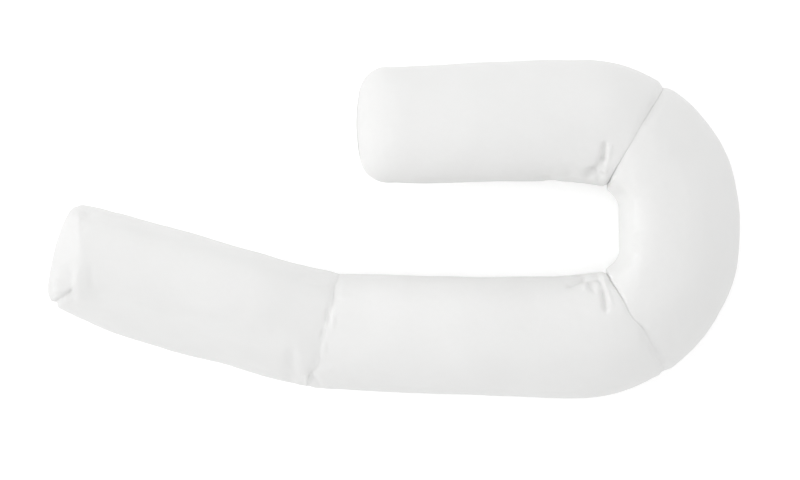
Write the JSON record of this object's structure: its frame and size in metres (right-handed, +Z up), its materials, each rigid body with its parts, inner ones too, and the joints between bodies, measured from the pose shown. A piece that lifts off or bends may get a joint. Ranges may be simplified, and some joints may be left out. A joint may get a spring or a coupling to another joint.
{
  "type": "body pillow",
  "caption": "J-shaped stuffed body pillow lying flat: a round bend joins the head arm to the straight back run, and the tail slants away from it.",
  "frame": {"origin": "on the surface it lies on, under the middle of its bounding box", "axes": "+X towards the outside of the bend, away from the tail's end; +Y from the back run towards the head arm; +Z up"},
  "size_m": [1.4, 0.685, 0.195],
  "materials": {
    "cover_cloth": "matt, finely woven white cotton"
  },
  "bodies": {
    "root": {"tail_panel": "cover_cloth", "back_panel": "cover_cloth", "bend_panel": "cover_cloth", "head_arm_panel": "cover_cloth"}
  },
  "joints": []
}
